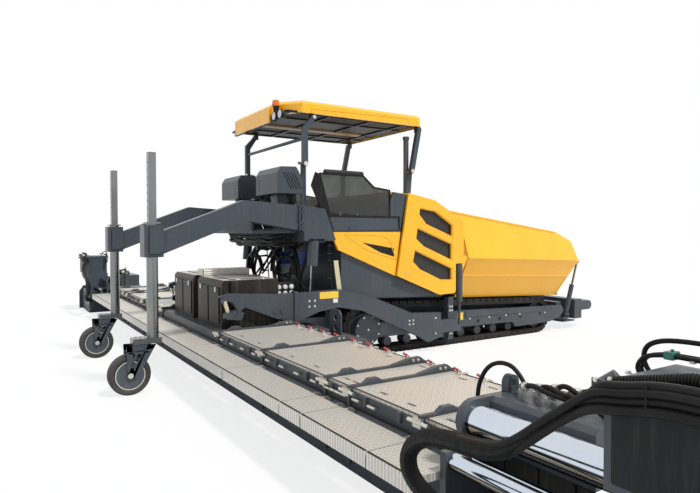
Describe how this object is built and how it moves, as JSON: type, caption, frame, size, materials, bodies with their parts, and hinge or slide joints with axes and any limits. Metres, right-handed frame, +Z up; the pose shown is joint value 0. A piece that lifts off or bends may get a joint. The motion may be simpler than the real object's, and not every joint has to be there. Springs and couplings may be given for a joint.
{
  "type": "asphalt paver",
  "caption": "Tracked asphalt paver with folding hopper wings, canopy and operator stations, towing a very wide modular screed with sliding ends and caster-borne support legs.",
  "frame": {"origin": "on the ground under the middle of the whole machine", "axes": "+X forward to the hopper, +Y to the machine's left along the screed, +Z up"},
  "size_m": [9.714, 16.372, 3.95],
  "materials": {
    "yellow_paint": "semi-gloss",
    "graphite_paint": "semi-gloss",
    "black_steel": "matt, worn",
    "engine_grey": "matt",
    "window_glass": "clear",
    "exhaust_steel": "heat-dulled",
    "chrome": "polished",
    "roller_steel": "worn",
    "grey_brown_panel": "satin",
    "aluminium_plate": "checker and grating",
    "leg_steel": "ground",
    "wheel_rubber": "matt",
    "seat_vinyl": "matt",
    "motor_blue": "semi-gloss",
    "auger_steel": "worn",
    "hose_sleeve": "wrapped nylon sleeve"
  },
  "bodies": {
    "tractor": {"auger_frame": "graphite_paint", "conveyor": "black_steel", "engine_block": "engine_grey", "engine_hood": "yellow_paint", "exhaust_pipe": "exhaust_steel", "front_beam": "graphite_paint", "generator": "motor_blue", "hopper_floor": "graphite_paint", "platform": "graphite_paint", "rear_panels": "yellow_paint", "side_panels": "graphite_paint", "support_arms": "graphite_paint", "track_frame_left": "graphite_paint", "track_frame_right": "graphite_paint", "track_left": "black_steel", "track_right": "black_steel", "tractor_frame": "graphite_paint", "windows": "window_glass"},
    "engine_door_left": {"engine_door_left": "yellow_paint"},
    "hopper_wing_left": {"hopper_wing_left": "yellow_paint"},
    "wing_barrel_left": {"wing_barrel_left": "graphite_paint"},
    "wing_rod_left": {"wing_rod_left": "chrome"},
    "engine_door_right": {"engine_door_right": "yellow_paint"},
    "hopper_wing_right": {"hopper_wing_right": "yellow_paint"},
    "wing_barrel_right": {"wing_barrel_right": "graphite_paint"},
    "wing_rod_right": {"wing_rod_right": "chrome"},
    "tow_blocks": {"tow_blocks": "graphite_paint"},
    "screed": {"screed_centre": "graphite_paint", "screed_boxes": "grey_brown_panel", "tow_arms": "graphite_paint", "screed_extension_left": "graphite_paint", "screed_extension_right": "graphite_paint", "screed_decks": "aluminium_plate", "screed_walkways": "aluminium_plate"},
    "lift_barrels": {"lift_barrels": "graphite_paint"},
    "lift_rods": {"lift_rods": "chrome"},
    "screed_end_left": {"screed_end_left": "graphite_paint", "end_tubes_left": "chrome", "hose_bundle_left": "hose_sleeve"},
    "support_leg_left": {"support_leg_left": "leg_steel"},
    "caster_fork_left": {"caster_fork_left": "graphite_paint"},
    "caster_wheel_left": {"caster_wheel_left": "wheel_rubber"},
    "screed_end_right": {"screed_end_right": "graphite_paint", "end_tubes_right": "chrome", "hose_bundle_right": "hose_sleeve"},
    "support_leg_right": {"support_leg_right": "leg_steel"},
    "caster_fork_right": {"caster_fork_right": "graphite_paint"},
    "caster_wheel_right": {"caster_wheel_right": "wheel_rubber"},
    "canopy_posts_rear": {"canopy_posts_rear": "graphite_paint"},
    "canopy_posts_front": {"canopy_posts_front": "graphite_paint"},
    "canopy_roof": {"canopy_roof": "yellow_paint"},
    "operator_pod_left": {"operator_pod_left": "graphite_paint", "seat_left": "seat_vinyl"},
    "operator_pod_right": {"operator_pod_right": "graphite_paint", "seat_right": "seat_vinyl"},
    "push_beam": {"push_beam": "graphite_paint"},
    "push_roller_left": {"push_roller_left": "roller_steel"},
    "auger_left": {"auger_left": "auger_steel"},
    "push_roller_right": {"push_roller_right": "roller_steel"},
    "auger_right": {"auger_right": "auger_steel"}
  },
  "joints": [
    {"name": "door_swing_left", "type": "hinge", "parent": "tractor", "child": "engine_door_left", "pos_m": [0.965, 1.228, 1.7], "axis": [0, 0, -1], "range_deg": [0, 70]},
    {"name": "wing_fold_left", "type": "hinge", "parent": "tractor", "child": "hopper_wing_left", "pos_m": [1.1, 0.9, 0.85], "axis": [-0.9991, 0, 0.0427], "range_deg": [0, 35]},
    {"name": "wing_barrel_swing_left", "type": "hinge", "parent": "tractor", "child": "wing_barrel_left", "pos_m": [4.073, 1, 0.3], "axis": [-0.9991, 0, 0.0427], "range_deg": [0, 24.54]},
    {"name": "wing_rod_slide_left", "type": "slide", "parent": "wing_barrel_left", "child": "wing_rod_left", "axis": [-0.0418, -0.2045, -0.978], "range_m": [0, 0.1615]},
    {"name": "door_swing_right", "type": "hinge", "parent": "tractor", "child": "engine_door_right", "pos_m": [0.965, -1.228, 1.7], "axis": [0, 0, 1], "range_deg": [0, 70]},
    {"name": "wing_fold_right", "type": "hinge", "parent": "tractor", "child": "hopper_wing_right", "pos_m": [1.1, -0.9, 0.85], "axis": [0.9991, 0, -0.0427], "range_deg": [0, 35]},
    {"name": "wing_barrel_swing_right", "type": "hinge", "parent": "tractor", "child": "wing_barrel_right", "pos_m": [4.073, -1, 0.3], "axis": [0.9991, 0, -0.0427], "range_deg": [0, 24.54]},
    {"name": "wing_rod_slide_right", "type": "slide", "parent": "wing_barrel_right", "child": "wing_rod_right", "axis": [-0.0418, 0.2045, -0.978], "range_m": [0, 0.1615]},
    {"name": "tow_point_slide", "type": "slide", "parent": "tractor", "child": "tow_blocks", "axis": [0, 0, 1], "range_m": [0, 0.1]},
    {"name": "screed_lift", "type": "hinge", "parent": "tow_blocks", "child": "screed", "pos_m": [0.39, 0, 0.4], "axis": [0, 1, 0], "range_deg": [0, 5.5]},
    {"name": "lift_barrel_swing", "type": "hinge", "parent": "tractor", "child": "lift_barrels", "pos_m": [-1.996, 0, 1.96], "axis": [0, -1, 0], "range_deg": [0, 5.11]},
    {"name": "lift_rod_slide", "type": "slide", "parent": "lift_barrels", "child": "lift_rods", "axis": [0.0737, 0, 0.9973], "range_m": [0, 0.2388]},
    {"name": "end_slide_left", "type": "slide", "parent": "screed", "child": "screed_end_left", "axis": [0, -1, 0], "range_m": [0, 0.8]},
    {"name": "leg_slide_left", "type": "slide", "parent": "tractor", "child": "support_leg_left", "axis": [0, 0, 1], "range_m": [0, 0.25]},
    {"name": "caster_swivel_left", "type": "hinge", "parent": "support_leg_left", "child": "caster_fork_left", "pos_m": [-4.484, 1.256, 0.55], "axis": [0, 0, 1], "continuous": true},
    {"name": "caster_roll_left", "type": "hinge", "parent": "caster_fork_left", "child": "caster_wheel_left", "pos_m": [-4.607, 1.256, 0.25], "axis": [0, 1, 0], "continuous": true},
    {"name": "end_slide_right", "type": "slide", "parent": "screed", "child": "screed_end_right", "axis": [0, 1, 0], "range_m": [0, 0.8]},
    {"name": "leg_slide_right", "type": "slide", "parent": "tractor", "child": "support_leg_right", "axis": [0, 0, 1], "range_m": [0, 0.25]},
    {"name": "caster_swivel_right", "type": "hinge", "parent": "support_leg_right", "child": "caster_fork_right", "pos_m": [-4.484, -1.256, 0.55], "axis": [0, 0, 1], "continuous": true},
    {"name": "caster_roll_right", "type": "hinge", "parent": "caster_fork_right", "child": "caster_wheel_right", "pos_m": [-4.607, -1.256, 0.25], "axis": [0, 1, 0], "continuous": true},
    {"name": "canopy_fold", "type": "hinge", "parent": "tractor", "child": "canopy_posts_rear", "pos_m": [-2.069, 0, 3.02], "axis": [0, -1, 0], "range_deg": [0, 65]},
    {"name": "canopy_level", "type": "hinge", "parent": "canopy_posts_rear", "child": "canopy_roof", "pos_m": [-1.924, 0, 3.72], "axis": [0, -1, 0], "range_deg": [-65.5, 0]},
    {"name": "canopy_front_fold", "type": "hinge", "parent": "tractor", "child": "canopy_posts_front", "pos_m": [-0.065, 0, 3.02], "axis": [0, -1, 0], "range_deg": [0, 65.5]},
    {"name": "pod_slide_left", "type": "slide", "parent": "tractor", "child": "operator_pod_left", "axis": [0, 1, 0], "range_m": [0, 0.15]},
    {"name": "pod_slide_right", "type": "slide", "parent": "tractor", "child": "operator_pod_right", "axis": [0, -1, 0], "range_m": [0, 0.15]},
    {"name": "push_beam_swing", "type": "hinge", "parent": "tractor", "child": "push_beam", "pos_m": [4.23, 0, 0.4], "axis": [0, 0, 1], "range_deg": [-3, 3]},
    {"name": "roller_spin_left", "type": "hinge", "parent": "push_beam", "child": "push_roller_left", "pos_m": [4.757, 0.66, 0.46], "axis": [0, 1, 0], "continuous": true},
    {"name": "auger_spin_left", "type": "hinge", "parent": "tractor", "child": "auger_left", "pos_m": [-2.03, 1.3, 0.3], "axis": [0, 1, 0], "continuous": true},
    {"name": "roller_spin_right", "type": "hinge", "parent": "push_beam", "child": "push_roller_right", "pos_m": [4.757, -0.66, 0.46], "axis": [0, 1, 0], "continuous": true},
    {"name": "auger_spin_right", "type": "hinge", "parent": "tractor", "child": "auger_right", "pos_m": [-2.03, -1.3, 0.3], "axis": [0, 1, 0], "continuous": true}
  ],
  "couplings": [
    {"joint": "wing_barrel_swing_left", "follows": "wing_fold_left", "ratio": 0.6727},
    {"joint": "wing_rod_slide_left", "follows": "wing_fold_left", "m_per_rad": 0.2578},
    {"joint": "wing_barrel_swing_right", "follows": "wing_fold_right", "ratio": 0.6727},
    {"joint": "wing_rod_slide_right", "follows": "wing_fold_right", "m_per_rad": 0.2578},
    {"joint": "lift_barrel_swing", "follows": "screed_lift", "ratio": 0.8389},
    {"joint": "lift_rod_slide", "follows": "screed_lift", "m_per_rad": 2.4455},
    {"joint": "canopy_level", "follows": "canopy_fold", "ratio": -1},
    {"joint": "canopy_front_fold", "follows": "canopy_fold", "ratio": 1}
  ]
}
